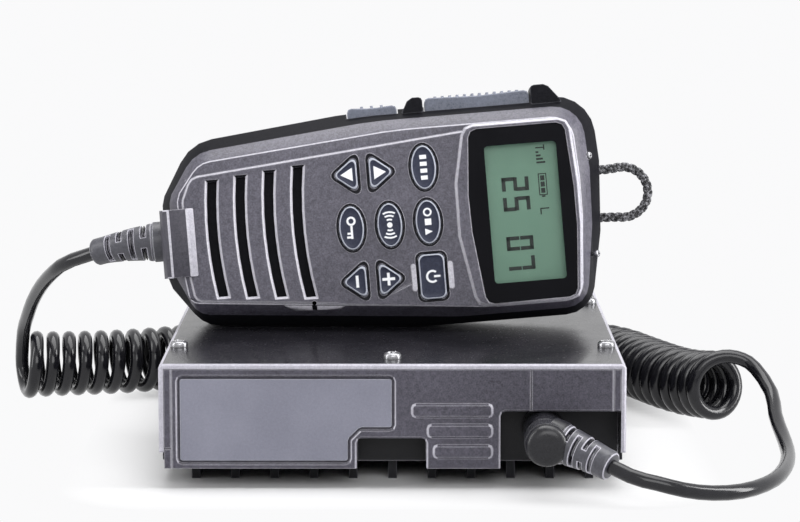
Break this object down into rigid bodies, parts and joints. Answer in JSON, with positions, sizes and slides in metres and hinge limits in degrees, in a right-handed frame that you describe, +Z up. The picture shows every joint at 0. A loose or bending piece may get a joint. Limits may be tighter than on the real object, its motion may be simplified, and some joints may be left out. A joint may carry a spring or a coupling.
{
  "type": "mobile radio transceiver",
  "caption": "Vehicle radio transceiver: flat metal-cased main unit with a display and keypad speaker-microphone handset on a curly cord.",
  "frame": {"origin": "on the surface that the main unit stands on, under the middle of the unit", "axes": "+Z up, +Y from the front panel to the rear sockets, +X to the right as seen from the front"},
  "size_m": [0.2604, 0.2396, 0.1157],
  "materials": {
    "cast_metal": "die cast, painted satin black",
    "sheet_metal": "smooth semi-gloss black paint",
    "unit_plastic": "fine spark texture, dark grey",
    "plate": "smooth, bare",
    "handset_plastic": "fine speckled dark grey",
    "button_plastic": "smooth dark grey",
    "key_plastic": "satin, pale symbols",
    "soft_rubber": "matte moulded",
    "boot_rubber": "matte moulded",
    "cord_jacket": "smooth extruded jacket",
    "braid": "woven cord",
    "cloth": "thin dust cloth",
    "clear_window": "clear acrylic",
    "lcd_glass": "green reflective display",
    "dark_plastic": "moulded black",
    "connector_plastic": "natural nylon",
    "board": "coated laminate",
    "dark_metal": "black finish",
    "screw_steel": "black zinc plating",
    "nickel": "nickel plated",
    "tin": "tinned steel"
  },
  "bodies": {
    "unit": {"chassis": "cast_metal", "top_cover": "sheet_metal", "front_panel": "unit_plastic", "name_plate": "plate", "mic_jack": "dark_metal", "front_board": "board", "main_board": "board", "board_screws": "screw_steel", "power_amplifier": "dark_plastic", "shield_cans": "tin", "board_components": "dark_plastic", "cover_screws": "screw_steel", "antenna_socket": "nickel", "antenna_socket_screws": "screw_steel", "dc_power_inlet": "connector_plastic", "speaker_jack": "dark_plastic", "mic_plug": "dark_metal", "plug_boot": "boot_rubber", "cord_plug_lead": "cord_jacket", "cord_coil": "cord_jacket", "cord_handset_lead": "cord_jacket"},
    "handset": {"handset_front_shell": "handset_plastic", "handset_back_shell": "handset_plastic", "handset_screws": "screw_steel", "handset_board_screws": "screw_steel", "head_end_screws": "screw_steel", "display_window": "clear_window", "lcd_panel": "lcd_glass", "lcd_holder": "dark_plastic", "handset_board": "board", "keypad_mat": "soft_rubber", "speaker_cloth": "cloth", "speaker_driver": "dark_metal", "microphone_element": "nickel", "switch_board": "board", "ptt_switch": "dark_plastic", "side_switch": "dark_plastic", "earphone_jack": "nickel", "hanger_stud": "nickel", "hanging_loop": "braid", "handset_cord_boot": "boot_rubber"},
    "key_down": {"key_down": "key_plastic"},
    "key_up": {"key_up": "key_plastic"},
    "key_minus": {"key_minus": "key_plastic"},
    "key_plus": {"key_plus": "key_plastic"},
    "key_power": {"key_power": "key_plastic"},
    "key_function": {"key_function": "key_plastic"},
    "key_lock": {"key_lock": "key_plastic"},
    "key_call": {"key_call": "key_plastic"},
    "key_mode": {"key_mode": "key_plastic"},
    "ptt_button": {"ptt_button": "button_plastic"},
    "side_button": {"side_button": "button_plastic"},
    "jack_cover": {"jack_cover": "soft_rubber"}
  },
  "joints": [
    {"name": "handset_lift", "type": "slide", "parent": "unit", "child": "handset", "axis": [0, 0, 1], "range_m": [0, 0.04], "deforming": ["cord_handset_lead"]},
    {"name": "key_down_press", "type": "slide", "parent": "handset", "child": "key_down", "axis": [0, 0.9903, -0.1392], "range_m": [0, 0.0006], "stiffness_N_per_m": 1500, "springref_m": -0.0004},
    {"name": "key_up_press", "type": "slide", "parent": "handset", "child": "key_up", "axis": [0, 0.9903, -0.1392], "range_m": [0, 0.0006], "stiffness_N_per_m": 1500, "springref_m": -0.0004},
    {"name": "key_minus_press", "type": "slide", "parent": "handset", "child": "key_minus", "axis": [0, 0.9903, -0.1392], "range_m": [0, 0.0006], "stiffness_N_per_m": 1500, "springref_m": -0.0004},
    {"name": "key_plus_press", "type": "slide", "parent": "handset", "child": "key_plus", "axis": [0, 0.9903, -0.1392], "range_m": [0, 0.0006], "stiffness_N_per_m": 1500, "springref_m": -0.0004},
    {"name": "key_power_press", "type": "slide", "parent": "handset", "child": "key_power", "axis": [0, 0.9903, -0.1392], "range_m": [0, 0.0006], "stiffness_N_per_m": 1500, "springref_m": -0.0004},
    {"name": "key_function_press", "type": "slide", "parent": "handset", "child": "key_function", "axis": [0, 0.9903, -0.1392], "range_m": [0, 0.0006], "stiffness_N_per_m": 1500, "springref_m": -0.0004},
    {"name": "key_lock_press", "type": "slide", "parent": "handset", "child": "key_lock", "axis": [0, 0.9903, -0.1392], "range_m": [0, 0.0006], "stiffness_N_per_m": 1500, "springref_m": -0.0004},
    {"name": "key_call_press", "type": "slide", "parent": "handset", "child": "key_call", "axis": [0, 0.9903, -0.1392], "range_m": [0, 0.0006], "stiffness_N_per_m": 1500, "springref_m": -0.0004},
    {"name": "key_mode_press", "type": "slide", "parent": "handset", "child": "key_mode", "axis": [0, 0.9903, -0.1392], "range_m": [0, 0.0006], "stiffness_N_per_m": 1500, "springref_m": -0.0004},
    {"name": "ptt_button_press", "type": "slide", "parent": "handset", "child": "ptt_button", "axis": [0.083, -0.1387, -0.9868], "range_m": [0, 0.0015], "stiffness_N_per_m": 1200, "springref_m": -0.0006},
    {"name": "side_button_press", "type": "slide", "parent": "handset", "child": "side_button", "axis": [0.083, -0.1387, -0.9868], "range_m": [0, 0.0015], "stiffness_N_per_m": 1200, "springref_m": -0.0006},
    {"name": "jack_cover_hinge", "type": "hinge", "parent": "handset", "child": "jack_cover", "pos_m": [-0.07529, -0.00416, 0.06443], "axis": [0.083, -0.1387, -0.9868], "range_deg": [0, 85], "stiffness_Nm_per_rad": 0.02, "springref_deg": -5.73}
  ]
}
